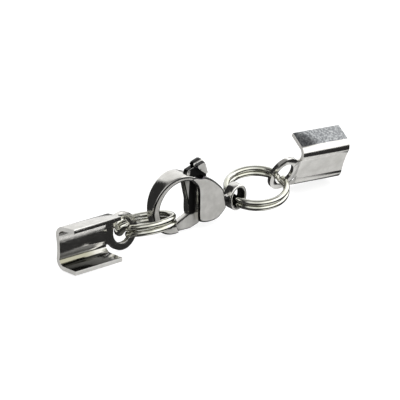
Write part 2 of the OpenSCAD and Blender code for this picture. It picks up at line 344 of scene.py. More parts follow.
@dataclass(frozen=True)
class ClaspSizes:
    """Sizes of the lobster clasp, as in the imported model."""

    claw_r: float = 3.25
    opening_r: float = 2.5
    opening_shift: float = 0.15
    opening_lift: float = 0.2
    hook_t: float = 1.1
    hook_angle: float = 277
    body_reach: float = 6.2
    body_drop: float = 2.66
    body_t: float = 2.5
    throat_reach: float = 2.3
    body_edge: float = 0.22
    scoop_r: float = 1.5
    scoop_depth: float = 0.32
    eye_h: float = 2.85
    eye_w: float = 2.35
    eye_rim: float = 0.38
    eye_t: float = 1.2
    eye_reach: float = 2.25
    eye_drop: float = 1.3
    lever_t: float = 0.7
    slot_gap: float = 0.08
    pivot_reach: float = 3.3
    pivot_drop: float = 1.35
    boss_r: float = 1.2
    pin_d: float = 0.6
    pin_gap: float = 0.05
    tip_gap: float = 0.08
    tab_h: float = 4.3
    tab_t: float = 1.15
    lever_open: float = 28
    root_angle: float = 44
    tip_turn: float = 8.5
    top_angle: float = 68
    pin_cover: float = 0.3
    pin_seat: float = 0.02
    lean: float = 5

    @property
    def opening(self) -> Array:
        """Centre of the opening, from the claw's centre."""
        return np.array([self.opening_shift, self.opening_lift])

    @property
    def pivot(self) -> Array:
        """Centre of the pivot, from the claw's centre."""
        return np.array([self.pivot_reach, -self.pivot_drop])

    @property
    def eye(self) -> Array:
        """Centre of the clasp's eye, from the claw's centre."""
        return np.array([self.body_reach + self.eye_reach, -self.eye_drop])

    @property
    def eye_hole(self) -> Array:
        """Half width and half height of the hole in the clasp's eye."""
        return np.array([self.eye_w, self.eye_h]) / 2 - self.eye_rim

    @property
    def slot_w(self) -> float:
        """Width of the slot for the lever."""
        return self.lever_t + 2 * self.slot_gap

    @property
    def scoop_at(self) -> Array:
        """Centre of the scoops for the thumb, from the claw's centre."""
        return np.array([self.tab_root[0] - 1.3, self.claw_r - 0.42 - self.scoop_depth + self.scoop_r])

    @property
    def tab_root(self) -> Array:
        """Foot of the thumb tab."""
        return np.array([self.pivot_reach + 0.65, self.tab_h - 1.9])

    @property
    def height(self) -> float:
        """Height of the claw's centre above the surface below."""
        lean = radians(self.lean)
        return self.claw_r * cos(lean) + self.hook_t / 2 * sin(lean)

    def opening_at(self, angle: float) -> float:
        """Distance of the opening's outline from the claw's centre at an angle."""
        k = float(along(angle) @ self.opening)
        return k + sqrt(k * k - float(self.opening @ self.opening) + self.opening_r ** 2)

    def claw_row(self, share: float) -> tuple[Array, Array, float]:
        """Section of the claw.

        Args:
            share: Place along the claw, 0 at its root and 1 at the hook's tip.

        Returns:
            The inner point, the outer point and the thickness.
        """
        a = mix(self.root_angle, self.hook_angle, share)
        b = a - self.tip_turn * smooth((share - 0.85) / 0.15)
        thick = mix(self.body_t * 0.985, self.hook_t, (a - 75) / 110)
        return along(b) * self.opening_at(b), along(a) * self.claw_r, thick

    def stand(self, points: Array) -> Array:
        """Take points from the flat clasp to the clasp as it leans, before the row is centred."""
        return turned(points, "X", 90 + self.lean) + [0, 0, self.height]


@dataclass(frozen=True)
class RingSizes:
    """Sizes and lie of one split ring."""

    side: str
    outer_d: float
    start: float
    tilt: float
    rise: float
    wire_d: float = 0.6
    turn_gap: float = 0.03
    jog: float = 26

    @property
    def pitch(self) -> float:
        """Distance between the middles of the two turns."""
        return self.wire_d + self.turn_gap

    @property
    def stack(self) -> float:
        """Height of the two turns together."""
        return self.wire_d + self.pitch

    def swing(self, points: Array) -> Array:
        """Turn points of the flat ring to its lie."""
        return turned(turned(points, "X", self.tilt), "Y", self.rise)

    def middle_at(self, angle: float) -> Array:
        """Point of the ring's middle line at an angle, from the ring's centre."""
        return self.swing(np.array([*(self.outer_d - self.wire_d) / 2 * along(angle), 0.0]))


@dataclass(frozen=True)
class CordEndSizes:
    """Sizes and lie of one cord end."""

    side: str
    low_flare: float
    flare: float
    eye_bend: float
    roll: float
    pitch: float
    yaw: float
    sheet_t: float = 0.42
    channel_len: float = 6.05
    channel_w: float = 4.35
    wing_len: float = 2.75
    bend_r: float = 1.05
    base_bow: float = 0.12
    loop_d: float = 3.9
    loop_hole: float = 2.45
    loop_reach: float = 2.1
    loop_drop: float = 0.15

    @property
    def loop_at(self) -> Array:
        """Centre of the eye in its own flat sheet."""
        return np.array([self.loop_reach - 0.1, self.channel_w / 2 - self.loop_drop])

    def stand_eye(self, points: Array) -> Array:
        """Take points of the eye's flat sheet to the cord end's own frame."""
        stood = np.column_stack([points[:, 0], -self.sheet_t / 2 - points[:, 2], points[:, 1]])
        stood = turned(turned(stood, "Z", self.eye_bend), "X", -self.low_flare)
        return stood + [self.channel_len + 0.1, -self.base_bow * 0.8, 0]

    def lie(self, points: Array) -> Array:
        """Turn points of the cord end to its lie on the surface."""
        edge = np.array([0, self.wing_len, 0])
        rise = max(0.0, self.channel_len * sin(radians(self.pitch)))
        laid = turned(turned(turned(points + edge, "X", self.roll) - edge, "Y", self.pitch), "Z", self.yaw)
        return laid + [0, 0, rise]

    def side_line(self, depth: float, arc_steps: int, bow_steps: int) -> list[Array]:
        """One side of the folded sheet's section.

        Args:
            depth: Distance in from the outer side.
            arc_steps: Chords of each bend.
            bow_steps: Parts of the bowed base.

        Returns:
            Points from the lower wing's edge round to the upper wing's edge.
        """
        up, end = 90 + self.low_flare, self.low_flare + self.flare
        low_t, high_t = (self.bend_r * tan(radians(90 - f) / 2)
                         for f in (self.low_flare, self.flare))
        corner = self.channel_w * along(up)
        low = np.array([low_t, self.bend_r])
        high = corner - high_t * along(up) + self.bend_r * along(up - 90)
        r = self.bend_r - depth
        base = []
        for i in range(1, bow_steps):
            s = i / bow_steps
            base.append(low - self.bend_r * along(up - 90) + s * (high - low)
                        + (depth + self.base_bow * 4 * s * (1 - s)) * along(up - 90))
        return ([np.array([self.wing_len, depth])]
                + arc(low, r, 270, 180 + self.low_flare, arc_steps) + base
                + arc(high, r, 180 + self.low_flare, 90 + end, arc_steps)
                + [corner + self.wing_len * along(end) + depth * along(end - 90)])


@dataclass(frozen=True)
class Row:
    """Places of the pieces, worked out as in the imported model.

    A `cross` is the angle on a ring where it holds a piece. The shifts, the drop, the rise and the
    slack are small distances by which the links settle off the middle of each other's holes.
    """

    clasp: ClaspSizes = ClaspSizes()
    left_ring: RingSizes = RingSizes("left", 6.4, 190, -12, -1)
    right_ring: RingSizes = RingSizes("right", 6.9, 15, 12, -10)
    left_end: CordEndSizes = CordEndSizes("left", 3, 3, 0, 0, 1.5, 1.7)
    right_end: CordEndSizes = CordEndSizes("right", 44, 10, 8, 21.5, -2, 172)
    left_cross: float = -9
    left_eye_cross: float = 186
    right_cross: float = 176
    right_eye_cross: float = -5
    hang_gap: float = 0.05
    left_shift: float = 0.7
    left_drop: float = 0.12
    right_shift: float = 0.22
    right_rise: float = 0.1
    eye_slack: float = 0.38

    @property
    def left_centre(self) -> Array:
        """Centre of the left ring, before the row is centred."""
        c, ring = self.clasp, self.left_ring
        x = c.opening_shift - self.left_shift
        floor = c.opening_lift - sqrt(c.opening_r ** 2 - (x - ring.wire_d / 2 - c.opening_shift) ** 2)
        tilt = radians(abs(ring.tilt))
        y = floor + ring.stack / 2 / cos(tilt) + self.hang_gap - self.left_drop + \
            c.hook_t / 2 * (tan(tilt) + tan(radians(c.lean)))
        return c.stand(np.array([x, y, 0.0])) - ring.middle_at(self.left_cross)

    @property
    def right_centre(self) -> Array:
        """Centre of the right ring, before the row is centred."""
        c, ring = self.clasp, self.right_ring
        y = c.eye[1] + ring.stack / 2 + self.hang_gap + self.right_rise - c.eye_hole[1]
        return c.stand(np.array([c.eye[0] - self.right_shift, y, 0.0])) - ring.middle_at(self.right_cross)

    def end_offset(self, end: CordEndSizes) -> Array:
        """Place of a cord end, so that its eye hangs on its ring."""
        left = end is self.left_end
        ring, centre = (self.left_ring, self.left_centre) if left else (self.right_ring, self.right_centre)
        play = end.loop_hole / 2 - ring.wire_d / 2 - self.hang_gap - self.eye_slack
        hook = centre + ring.middle_at(self.left_eye_cross if left else self.right_eye_cross)
        hook = hook + np.array([-play if left else play, 0, 0])
        offset = hook - end.lie(end.stand_eye(np.array([[*end.loop_at, 0.0]])))[0]
        return np.array([offset[0], offset[1], 0.0])

    @property
    def middle(self) -> Array:
        """Point of the uncentred row that becomes the origin, read from the lever's packed pivot."""
        pivot = np.array(next(j for j in frame["joints"] if j["name"] == "gate_hinge")["pos_m"]) / MM
        there = self.clasp.stand(np.array([*self.clasp.pivot, 0.0])) - pivot
        return np.array([there[0], there[1], 0.0])

    def place_clasp(self, points: Array) -> Array:
        """Take points of the flat clasp to the row."""
        return self.clasp.stand(points) - self.middle

    def place_end(self, end: CordEndSizes) -> Callable[[Array], Array]:
        """The move that takes points of a cord end's own frame to the row."""
        offset = self.end_offset(end) - self.middle
        return lambda points: end.lie(points) + offset


# ---- nodes

Value = Union["Sock", float, int]


@dataclass(frozen=True)
class Sock:
    """A node's output, which can be used in sums where it is a number."""

    tree: "Nodes"
    out: bpy.types.NodeSocket

    def math(self, operation: str, other: Value = 0.0, swap: bool = False) -> "Sock":
        """Result of one Math node.

        Args:
            operation: Blender's name of the operation.
            other: The second value.
            swap: True where the other value comes first.

        Returns:
            The node's output.
        """
        first, second = (other, self) if swap else (self, other)
        return self.tree.node("ShaderNodeMath", {0: first, 1: second}, operation=operation)[0]

    def __add__(self, other: Value) -> "Sock":
        """Sum."""
        return self.math("ADD", other)

    __radd__ = __add__

    def __sub__(self, other: Value) -> "Sock":
        """Difference."""
        return self.math("SUBTRACT", other)

    def __rsub__(self, other: Value) -> "Sock":
        """Difference from a plain number."""
        return self.math("SUBTRACT", other, swap=True)

    def __mul__(self, other: Value) -> "Sock":
        """Product."""
        return self.math("MULTIPLY", other)

    __rmul__ = __mul__

    def size(self) -> "Sock":
        """Value without its sign."""
        return self.math("ABSOLUTE")

    def ramp(self, low: float, high: float) -> "Sock":
        """Soft step of this value from 0 at one limit to 1 at the other."""
        ends = {1: low, 2: high, 3: 0.0, 4: 1.0} if low < high else {1: high, 2: low, 3: 1.0, 4: 0.0}
        return self.tree.node("ShaderNodeMapRange", {0: self, **ends}, interpolation_type="SMOOTHSTEP")[0]


class Nodes:
    """Builds the nodes of one tree."""

    def __init__(self, tree: bpy.types.NodeTree) -> None:
        """Start with an empty tree."""
        self.tree = tree
        self.tree.nodes.clear()

    def node(self, kind: str, inputs: Optional[dict[Any, Any]] = None, **settings: Any) -> list[Sock]:
        """Add a node.

        Args:
            kind: Blender's type name of the node.
            inputs: Values or sockets for the node's inputs, by index or name.
            settings: Attributes of the node, which are set first.

        Returns:
            The node's outputs.
        """
        made = self.tree.nodes.new(kind)
        for key, value in settings.items():
            setattr(made, key, value)
        for key, value in (inputs or {}).items():
            if isinstance(value, Sock):
                self.tree.links.new(value.out, made.inputs[key])
            else:
                made.inputs[key].default_value = value
        return [Sock(self, s) for s in made.outputs]


class Shader(Nodes):
    """Builds the nodes of one material or of the world."""

    def __init__(self, owner: Any) -> None:
        """Start an empty node tree on a material or a world."""
        owner.use_nodes = True
        super().__init__(owner.node_tree)

    def vector(self, operation: str, a: Any, b: Any = (0.0, 0.0, 0.0)) -> list[Sock]:
        """Outputs of one Vector Math node, first the vector and then the number."""
        return self.node("ShaderNodeVectorMath", {0: a, 1: b}, operation=operation)

    def place(self, scale: Sequence[float] = (1, 1, 1), turn: Sequence[float] = (0, 0, 0)) -> Sock:
        """Object coordinates, scaled and turned."""
        where = self.node("ShaderNodeTexCoord")[3]
        return self.node("ShaderNodeMapping", {
            "Vector": where, "Scale": scale, "Rotation": tuple(radians(a) for a in turn)})[0]

    def facing(self, axis: Sequence[float]) -> Sock:
        """How squarely the surface looks along an axis, either way."""
        normal = self.node("ShaderNodeTexCoord")[1]
        return self.vector("DOT_PRODUCT", normal, axis)[1].size()

    def noise(self, at: Sock, scale: float, detail: float, rough: float = 0.5) -> Sock:
        """Value of a noise texture at a place."""
        return self.node("ShaderNodeTexNoise", {
            "Vector": at, "Scale": scale, "Detail": detail, "Roughness": rough})[0]

    def blend(self, factor: Value, a: Any, b: Any) -> Sock:
        """Blend of two colours."""
        full = [(*c, 1.0) if isinstance(c, tuple) else c for c in (a, b)]
        return self.node("ShaderNodeMix", {0: factor, 6: full[0], 7: full[1]}, data_type="RGBA")[2]


def material_of(name: str, skin: Callable[[Shader], Sock]) -> bpy.types.Material:
    """Make a material.

    Args:
        name: Name of the material.
        skin: Adds the nodes of its surface and returns their output.

    Returns:
        The material.
    """
    material = bpy.data.materials.new(name)
    s = Shader(material)
    s.node("ShaderNodeOutputMaterial", {"Surface": skin(s)})
    return material


class Grain(Enum):
    """Direction of the fine brush lines of a finish."""

    NONE = (60.0, 60.0, 60.0)
    UPRIGHT = (160.0, 160.0, 8.0)
    ACROSS = (160.0, 8.0, 160.0)


@dataclass(frozen=True)
class Steel:
    """A finish of stainless steel: its colour, its gloss, its brush lines, its wear, its painted shade and
    its painted dark reflections.

    The flat faces that look along `flat_axis` can be rougher than the polished rest of a piece.
    """

    name: str
    tone: Triple = (0.74, 0.73, 0.7)
    shade: Triple = (0.62, 0.61, 0.58)
    # Tone of the painted shade in deep, unlit parts
    dark: Triple = (0.02, 0.02, 0.02)
    # Tone of the painted dark reflection on rounded edges
    edge_reflection_dark: Triple = (0.035, 0.035, 0.035)
    gloss: float = 0.1
    flat_gloss: float = 0.1
    flat_metal: float = 1.0
    flat_axis: Triple = (0.0, 0.0, 1.0)
    haze: float = 0.08
    grain: Grain = Grain.NONE
    grain_depth: float = 0.000006
    pits: float = 0.000003
    mottle: float = 900.0

    def painted_shade(self, s: Shader) -> Value:
        """Share of the painted shade at each place, for deep and unlit parts."""
        return 0.0

    def rim(self, s: Shader) -> Value:
        """Share of the painted dark reflection at each place, for rounded edges."""
        return 0.0

    def clouds(self, s: Shader) -> Sock:
        """Slow changes over the surface."""
        return s.noise(s.place(), self.mottle, 4.0, 0.6)

    def colour(self, s: Shader) -> Sock:
        """Cloudy tone of the bare metal."""
        return s.blend(self.clouds(s).ramp(0.35, 0.7), self.shade, self.tone)

    def satin(self, s: Shader) -> Sock:
        """Share of the satin finish at each place."""
        return s.facing(self.flat_axis).ramp(0.975, 0.995)

    def make(self) -> bpy.types.Material:
        """Build the material."""
        return material_of(self.name, self.skin)

    def skin(self, s: Shader) -> Sock:
        """A metal with cloudy tone, varied gloss, fine scratches and small pits."""
        # deep is the share of painted shade
        flat, deep = self.satin(s), self.painted_shade(s)
        lines = s.noise(s.place(self.grain.value), 100.0, 3.0, 0.7)
        scratch = s.noise(s.place((40, 600, 600), (0, 35, 20)), 20.0, 1.0, 0.5).ramp(0.62, 0.7)
        pit = s.noise(s.place(), 9000.0, 2.0, 0.5)
        # Painted shade and painted dark reflection on edges are blended into the base colour
        colour = s.blend(deep, s.blend(self.rim(s), self.colour(s), self.edge_reflection_dark), self.dark)
        rough = (self.clouds(s) * self.haze + (self.gloss - self.haze * 0.5)
                 + flat * (self.flat_gloss - self.gloss)
                 + scratch * 0.05 + (lines - 0.5) * 0.08 + deep * 0.3)
        relief = s.node("ShaderNodeBump", {
            "Strength": 0.5, "Distance": self.grain_depth,
            "Height": lines + pit * (self.pits / self.grain_depth) - scratch * 0.4})[0]
        metal = 1.0 if self.flat_metal == 1.0 else flat * (1 - deep) * (self.flat_metal - 1) + 1
        return s.node("ShaderNodeBsdfPrincipled", {
            "Base Color": colour, "Metallic": metal, "Roughness": rough, "Normal": relief})[0]


# The way that the clasp's faces look, and how squarely a surface meets it on an edge and on a side
FRONT = (0.0, *-along(ClaspSizes.lean))
ON_EDGE = (0.992, 0.975)
ON_SIDE = (0.6, 0.8)


@dataclass(frozen=True)
class PlacedSteel(Steel):
    """A finish that knows its place in the flat clasp."""

    row: Row = Row()

    def flat(self, s: Shader) -> list[Sock]:
        """Coordinates of the flat clasp, in millimetres."""
        c = self.row.clasp
        foot = (np.array([0, 0, c.height]) - self.row.middle) * MM
        spot = s.node("ShaderNodeMapping", {
            "Vector": s.node("ShaderNodeTexCoord")[3], "Location": tuple(foot),
            "Rotation": (radians(90 + c.lean), 0.0, 0.0), "Scale": (MM, MM, MM)}, vector_type="TEXTURE")[0]
        return s.node("ShaderNodeSeparateXYZ", {0: spot})


@dataclass(frozen=True)
class ClaspSteel(PlacedSteel):
    """Satin cheeks, polished edges with painted dark reflection, thumb scoops with painted shade, and
    painted shade in the hollows.
    """

    # Colour of the painted shade in the thumb scoops
    scoop: Triple = (0.1, 0.09, 0.115)

    def painted_shade(self, s: Shader) -> Value:
        """Painted shade inside the slot and inside the eye."""
        c = self.row.clasp
        x, y, z = self.flat(s)
        slot = z.size().ramp(c.slot_w / 2 + 0.03, c.slot_w / 2 + 0.01) * s.facing(FRONT).ramp(*ON_SIDE)
        across, up = (x - c.eye[0]) * (1 / c.eye_hole[0]), (y - c.eye[1]) * (1 / c.eye_hole[1])
        return slot + (across * across + up * up).ramp(1.3, 1.12)

    def rim(self, s: Shader) -> Value:
        """Painted dark reflection on the rounded edges, and only next to the face on the claw."""
        c = self.row.clasp
        x, _, _ = self.flat(s)
        face = s.facing(FRONT)
        low = x.ramp(c.throat_reach - 0.4, c.throat_reach - 0.9) * 0.35 + 0.25
        return (face - low).ramp(0.0, 0.08) * face.ramp(*ON_EDGE) * x.ramp(c.eye[0] - 1.3, c.eye[0] - 1.5)

    def colour(self, s: Shader) -> Sock:
        """The bare metal with painted shade in the scoop."""
        c = self.row.clasp
        x, y, _ = self.flat(s)
        # Painted shade inside the scoop's outline
        dx, dy = x - c.scoop_at[0], y - c.scoop_at[1]
        near = (dx * dx + dy * dy).ramp((c.scoop_r + 0.1) ** 2, (c.scoop_r + 0.03) ** 2)
        return s.blend(near, super().colour(s), self.scoop)


@dataclass(frozen=True)
class LeverSteel(PlacedSteel):
    """The lever's finish, with painted shade where its sides run between the cheeks and painted dark
    reflection on its edges.
    """

    def painted_shade(self, s: Shader) -> Value:
        """Painted shade on the sides of the stem."""
        c = self.row.clasp
        x, y, z = self.flat(s)
        stem = x.ramp(c.throat_reach - 0.75, c.throat_reach - 0.65) * y.ramp(-1.75, -1.55)
        plate_only = z.size().ramp(c.lever_t / 2 + 0.06, c.lever_t / 2 + 0.04)
        return s.facing(FRONT).ramp(*ON_SIDE) * stem * plate_only

    def rim(self, s: Shader) -> Value:
        """Painted dark reflection on the plate's rounded edges and on the tab's cap, but for one bright
        stripe.
        """
        _, y, _ = self.flat(s)
        face = s.facing(FRONT)
        stripe = face.ramp(0.36, 0.46) * face.ramp(0.74, 0.64)
        plate_rim = y.ramp(2.3, 2.1) * face.ramp(0.3, 0.4)
        return face.ramp(*ON_EDGE) * (plate_rim + y.ramp(3.0, 3.2) * (1 - stripe))


@dataclass(frozen=True)
class SheetSteel(Steel):
    """Rolled sheet with satin cut edges, a painted mottled reflection on the upper wing and painted dark
    reflections inside the lower one.

    The built mesh marks its faces: `cut` for satin ones, `top` for the upper wing's outer side and
    `low` for the lower wing's inner side, `hollow` for the bend above it. `run` is the place along the
    channel, 0 to 1.
    """

    flat_gloss: float = 0.45
    flat_metal: float = 0.4
    # Shares and tones of painted reflections: mottled on the upper wing, dark inside the channel
    mottled_reflection: float = 0.0
    channel_reflection: float = 0.0
    reflection_pale: Triple = (0.36, 0.37, 0.375)
    reflection_dark: Triple = (0.15, 0.157, 0.163)
    low_reflection_tone: Triple = (0.012, 0.012, 0.009)
    hollow_reflection_tone: Triple = (0.3, 0.29, 0.22)

    def mark(self, s: Shader, name: str) -> Sock:
        """Value of a mark of the mesh."""
        return s.node("ShaderNodeAttribute", attribute_name=name)[2]

    def satin(self, s: Shader) -> Sock:
        """The cut edges are satin."""
        return self.mark(s, "cut")

    def colour(self, s: Shader) -> Sock:
        """The bare metal with a painted mottled reflection on the upper wing and painted dark reflections
        inside the channel.
        """
        # Painted mottled reflection on the upper wing's outer side
        spots = s.noise(s.place(), 4200.0, 5.0, 0.6).ramp(0.4, 0.64)
        bare = s.blend(self.mark(s, "top") * self.mottled_reflection, super().colour(s),
                       s.blend(spots, self.reflection_dark, self.reflection_pale))
        # Painted dark reflection on the lower wing's inner side, left off near the far end, and a painted
        # olive-grey reflection in the bend above it, fading towards the far end
        run = self.mark(s, "run")
        low = self.mark(s, "low") * run.ramp(0.93, 0.8) * self.channel_reflection
        hollow = self.mark(s, "hollow") * run.ramp(1.05, 0.5) * self.channel_reflection
        return s.blend(low, s.blend(hollow, bare, self.hollow_reflection_tone), self.low_reflection_tone)


# ---- the clasp

@dataclass
class ClaspBody:
    """Claw, cheeks, neck and eye of the clasp, with the slot for the lever."""

    row: Row
    finish: Steel = ClaspSteel("clasp_steel", gloss=0.12, flat_gloss=0.5, flat_metal=0.6,
                               flat_axis=FRONT, grain=Grain.ACROSS)
    claw_edge: float = 0.21
    claw_steps: int = 110
    eye_steps: int = 96

    def outline(self) -> list[Sequence[float]]:
        """Outline of the cheeks, anticlockwise from the lower throat corner."""
        c = self.row.clasp
        tip = np.array([c.body_reach, -0.62 * c.body_drop])
        t, d = c.throat_reach, c.body_drop
        return (bend((t + 0.2, 0.88 - d * 1.18), (t + 1.1, -d * 1.02), (t + 1.9, -d), 3)
                + bend((t + 2.3, 0.02 - d), (c.body_reach - 0.95, 0.05 - d), tip - [0.35, 0.3], 3)
                + [tip + p for p in ([0, 0.05], [-0.1, 0.65], [-0.3, 1.3], [-0.42, 1.9], [-0.7, 2.45],
                                     [-1.76, 3.4], [-2.6, 3.98], [-3.4, 4.3], [-4.2, 4.5])]
                + [along(c.top_angle) * (c.claw_r - 0.13), along(c.top_angle) * (c.claw_r - 0.4)]
                + bend((t - 0.65, 2.1), (t - 0.2, 1.75), (t - 0.12, 1), 3)
                + [(t, -0.6), (t + 0.03, -1.5)])

    def slot(self) -> Obj:
        """The space that the lever moves in."""
        c = self.row.clasp
        side = c.boss_r + 0.12
        back = along(90 - c.lever_open - 8)
        p = c.pivot
        corners = [(0.7 + c.opening_shift, 0), (c.opening_shift + 0.62, c.opening_lift + 1.9),
                   (c.opening_shift + 1.05, c.claw_r + 0.3), p + back * 6.5 + [side, 0], p + [side, 0],
                   p + [0.5, -side], p + [0.5, -2], p + [-2, -2.5], (c.throat_reach - 1, -2.5)]
        made = plate("slot", np.array(corners, float)[::-1], c.slot_w, 0)
        combine(made, rod("slot_round", p, side, c.slot_w), "UNION")
        return made

    def build(self) -> Obj:
        """Make the clasp's body and dress it."""
        c = self.row.clasp
        rows = [c.claw_row(i / self.claw_steps) for i in range(self.claw_steps + 1)]
        made = solid_of("clasp_body_fine", [box_section(p, q, t, self.claw_edge) for p, q, t in rows])
        combine(made, plate("cheeks", self.outline(), c.body_t, c.body_edge, rounds=2), "UNION")
        combine(made, self.neck(), "UNION")
        combine(made, self.slot(), "DIFFERENCE")
        bore_len = c.body_t - 2 * (c.pin_cover - c.pin_seat)
        combine(made, rod("bore", c.pivot, c.pin_d / 2 + c.pin_seat, bore_len), "DIFFERENCE")
        for cheek in (-c.body_t / 2, c.body_t / 2):
            combine(made, rod("scoop", (*c.scoop_at, cheek), c.scoop_r, c.body_t - c.slot_w), "DIFFERENCE")
        combine(made, self.eye(), "UNION")
        place(made, self.row.place_clasp, self.finish.make())
        return made

    def neck(self) -> Obj:
        """Neck between the body's tip and the eye."""
        c = self.row.clasp
        rows = between([(2.9, 1.7, 1.5), (2.3, 1.4, 1.15), (1.75, 0.95, 0.8), (1.35, 0.9, 0.75),
                        (0.95, 1.05, 0.8)], 6)
        ring = np.array(arc((0, 0), 0.52, 0, 360 - 10, 35))
        return solid_of("neck", [np.column_stack([
            np.full(36, c.eye[0] - reach), c.eye[1] + ring[:, 0] * high, ring[:, 1] * deep])
            for reach, high, deep in rows])

    def eye(self) -> Obj:
        """Oval eye at the end of the clasp."""
        c = self.row.clasp
        rings = []
        for i in range(self.eye_steps):
            u = along(360 * i / self.eye_steps)
            inner, outer = (c.eye + u * (c.eye_hole + rim) for rim in (0, c.eye_rim))
            rings.append(box_section(inner, outer, c.eye_t, min(0.2, c.eye_rim * 0.45)))
        return solid_of("eye", rings, closed=True)


@dataclass
class GateLever:
    """Gate, throat edge and thumb tab, which turn together about the pin."""

    row: Row
    finish: Steel = LeverSteel("lever_steel", gloss=0.14, flat_gloss=0.4, flat_metal=0.55,
                               flat_axis=FRONT, grain=Grain.UPRIGHT)
    plate_edge: float = 0.12
    tab_edge: float = 0.5
    tab_face: float = 0.7

    def outline(self) -> list[Sequence[float]]:
        """Outline of the lever's plate, anticlockwise from the gate's lower tip."""
        c = self.row.clasp
        inner, outer, _ = c.claw_row(1)
        face = (outer - inner) / np.linalg.norm(outer - inner)
        out = np.array([-face[1], face[0]])
        root, foot = c.tab_root, np.array([c.throat_reach - 0.45, -1.5])
        return ([outer + out * c.tip_gap - face * 0.08, (c.throat_reach - 0.2, 0.04 - c.claw_r),
                 (c.pivot_reach - 0.1, 0.34 - c.claw_r)]
                + arc(c.pivot, c.boss_r, -75, 0, 14)
                + [root + [0, -0.8], root + [-0.02, 0.3], root + [-1.3, 1.3],
                   (c.opening_shift + 1.2, c.claw_r + 0.1),
                   (c.opening_shift + 0.75, c.opening_lift + 1.95), foot + [-0.02, 0.5]]
                + bend(foot + [0.02, 0.2], foot + [0, -0.05], foot + [-0.4, -0.2], 6)
                + [inner + out * c.tip_gap + face * 0.04])

    def tab_outline(self) -> list[Sequence[float]]:
        """Outline of the thumb tab, anticlockwise from its foot."""
        c = self.row.clasp
        r = c.tab_root
        return [r + [-0.55, 0.25], r + [0.02, 0.03], r + [-0.35, 1.0], (r[0] - 0.73, c.tab_h),
                (r[0] - 1.3, c.tab_h - 0.12), (r[0] - 1.95, c.tab_h - 0.32), (r[0] - 1.92, c.tab_h - 0.72)]

    def tab(self) -> Obj:
        """Thumb tab, flat in front near its foot and rounded over towards its top."""
        c = self.row.clasp
        outline, foot, half = soften(self.tab_outline(), 3), c.tab_root + [-0.15, 0.25], c.tab_t / 2
        rings = []
        for turn in [-90 + 9 * i for i in range(21)]:
            share = self.tab_face + (1 - self.tab_face) * cos(radians(turn))
            depth = (half - self.tab_edge) * np.sign(turn) + self.tab_edge * sin(radians(turn))
            rings.append(level(foot + (outline - foot) * share, -depth))
        return solid_of("tab", rings)

    def build(self) -> Obj:
        """Make the lever and dress it."""
        c = self.row.clasp
        made = plate("gate_lever_fine", self.outline(), c.lever_t, self.plate_edge, 3)
        combine(made, self.tab(), "UNION")
        combine(made, rod("lever_bore", c.pivot, c.pin_d / 2 + c.pin_gap, c.tab_t + 1), "DIFFERENCE")
        place(made, self.row.place_clasp, self.finish.make())
        return made


# ---- rings and cord ends

class RingTree(Nodes):
    """Geometry nodes that sweep a round wire along two turns with a short crossing."""

    SIZES = ("Ring diameter", "Wire diameter", "Pitch", "Crossing", "Run", "Start", "Tilt", "Rise")
    PATH_POINTS = 221
    WIRE_POINTS = 22

    def __init__(self) -> None:
        """Build the tree with its named inputs."""
        super().__init__(bpy.data.node_groups.new("split_ring_wire", "GeometryNodeTree"))
        kinds = {**{name: "Float" for name in self.SIZES}, "Centre": "Vector", "Finish": "Material"}
        for name, kind in kinds.items():
            self.tree.interface.new_socket(name, in_out="INPUT", socket_type=f"NodeSocket{kind}")
        self.tree.interface.new_socket("Geometry", in_out="OUTPUT", socket_type="NodeSocketGeometry")
        self._fill({sock.out.name: sock for sock in self.node("NodeGroupInput")})

    def _fill(self, g: dict[str, Sock]) -> None:
        """Add the nodes between the inputs and the result.

        Args:
            g: The tree's inputs by name.
        """
        line = self.node("GeometryNodeCurvePrimitiveLine")[0]
        line = self.node("GeometryNodeResampleCurve", {"Curve": line, "Count": self.PATH_POINTS})[0]
        angle = self.node("GeometryNodeSplineParameter")[0] * g["Run"]
        lift = self.node("ShaderNodeMapRange", {0: angle, 1: 360.0 - g["Crossing"], 2: 360.0, 3: 0.0,
                                                4: g["Pitch"]}, interpolation_type="SMOOTHSTEP")[0]
        turn = (angle + g["Start"]).math("RADIANS")
        radius = (g["Ring diameter"] - g["Wire diameter"]) * 0.5
        point = self.node("ShaderNodeCombineXYZ", {
            0: radius * turn.math("COSINE"), 1: radius * turn.math("SINE"), 2: lift - g["Pitch"] * 0.5})[0]
        path = self.node("GeometryNodeSetPosition", {"Geometry": line, "Position": point})[0]
        wire = self.node("GeometryNodeCurvePrimitiveCircle", {
            "Resolution": self.WIRE_POINTS, "Radius": g["Wire diameter"] * 0.5})[0]
        swept = self.node("GeometryNodeCurveToMesh", {
            "Curve": path, "Profile Curve": wire, "Fill Caps": True})[0]
        lie = self.node("ShaderNodeCombineXYZ", {
            0: g["Tilt"].math("RADIANS"), 1: g["Rise"].math("RADIANS")})[0]
        placed = self.node("GeometryNodeTransform", {
            "Geometry": swept, "Rotation": lie, "Translation": g["Centre"]})[0]
        plain = self.node("GeometryNodeRealizeInstances", {"Geometry": placed})[0]
        dressed = self.node("GeometryNodeSetMaterial", {"Geometry": plain, "Material": g["Finish"]})[0]
        self.node("NodeGroupOutput", {0: dressed})


